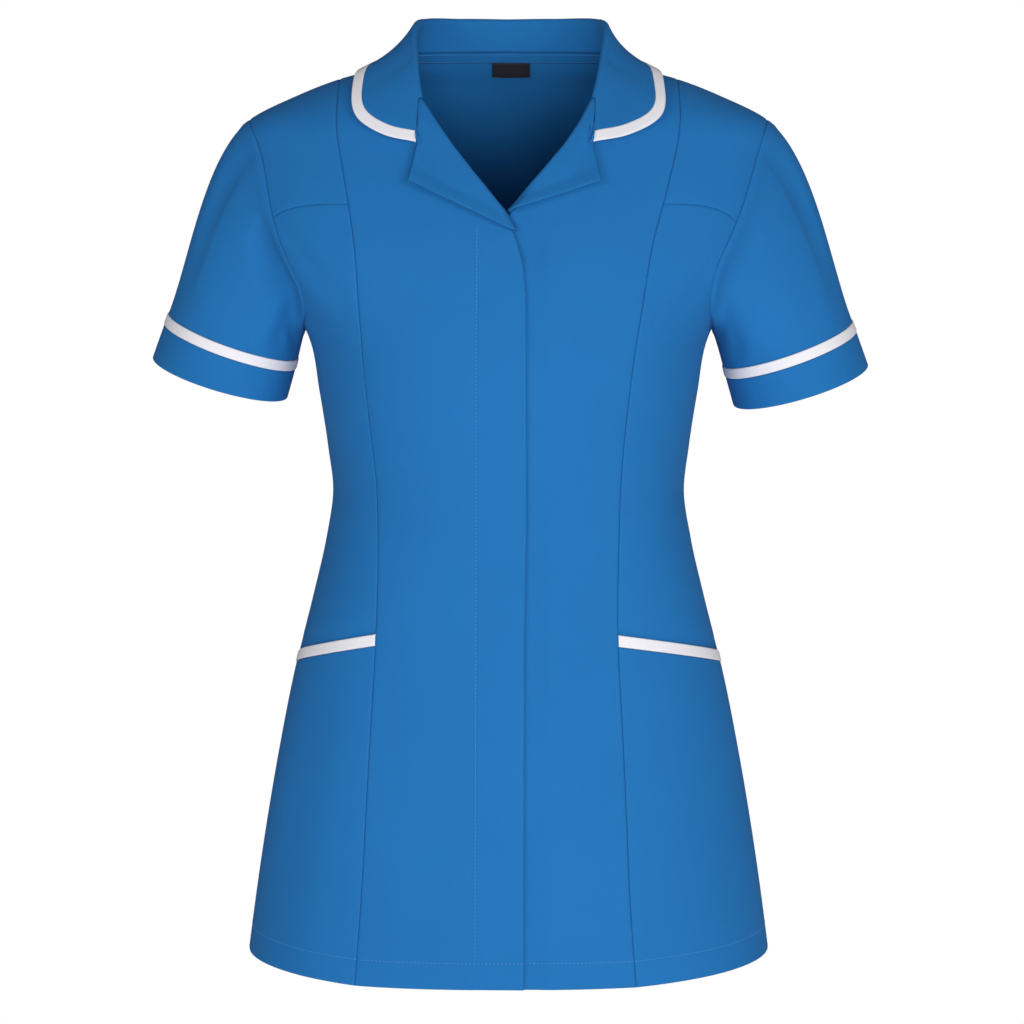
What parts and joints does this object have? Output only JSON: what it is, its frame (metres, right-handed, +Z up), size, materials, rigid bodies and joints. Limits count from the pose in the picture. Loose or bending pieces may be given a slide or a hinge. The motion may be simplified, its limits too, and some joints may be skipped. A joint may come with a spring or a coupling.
{
  "type": "medical tunic",
  "caption": "Short-sleeved medical tunic with a bound collar, revers, a concealed front fastening, princess seams and slanted side pockets, worn open and hollow.",
  "frame": {"origin": "the nape: centre back neck seam, on the inner side of the cloth, where the wearer holds the tunic up", "axes": "+Z up the body, -Y towards the front, +X towards the wearer's left"},
  "size_m": [0.5576, 0.2604, 0.7374],
  "materials": {
    "blue_cloth": "plain woven polyester and cotton, matt with a faint sheen",
    "white_trim": "smooth woven binding, matt",
    "black_label": "woven satin label, bare"
  },
  "bodies": {
    "root": {"back": "blue_cloth", "front_centre_right": "blue_cloth", "front_centre_left": "blue_cloth", "side_front_upper_right": "blue_cloth", "side_front_upper_left": "blue_cloth", "side_front_right": "blue_cloth", "side_front_left": "blue_cloth", "pocket_right": "blue_cloth", "pocket_left": "blue_cloth", "pocket_trim_right": "white_trim", "pocket_trim_left": "white_trim", "sleeve_right": "blue_cloth", "sleeve_left": "blue_cloth", "sleeve_trim_right": "white_trim", "sleeve_trim_left": "white_trim", "cuff_right": "blue_cloth", "cuff_left": "blue_cloth", "revers_right": "blue_cloth", "revers_left": "blue_cloth", "collar": "blue_cloth", "collar_trim": "white_trim", "neck_tape": "blue_cloth", "label": "black_label"}
  },
  "joints": []
}
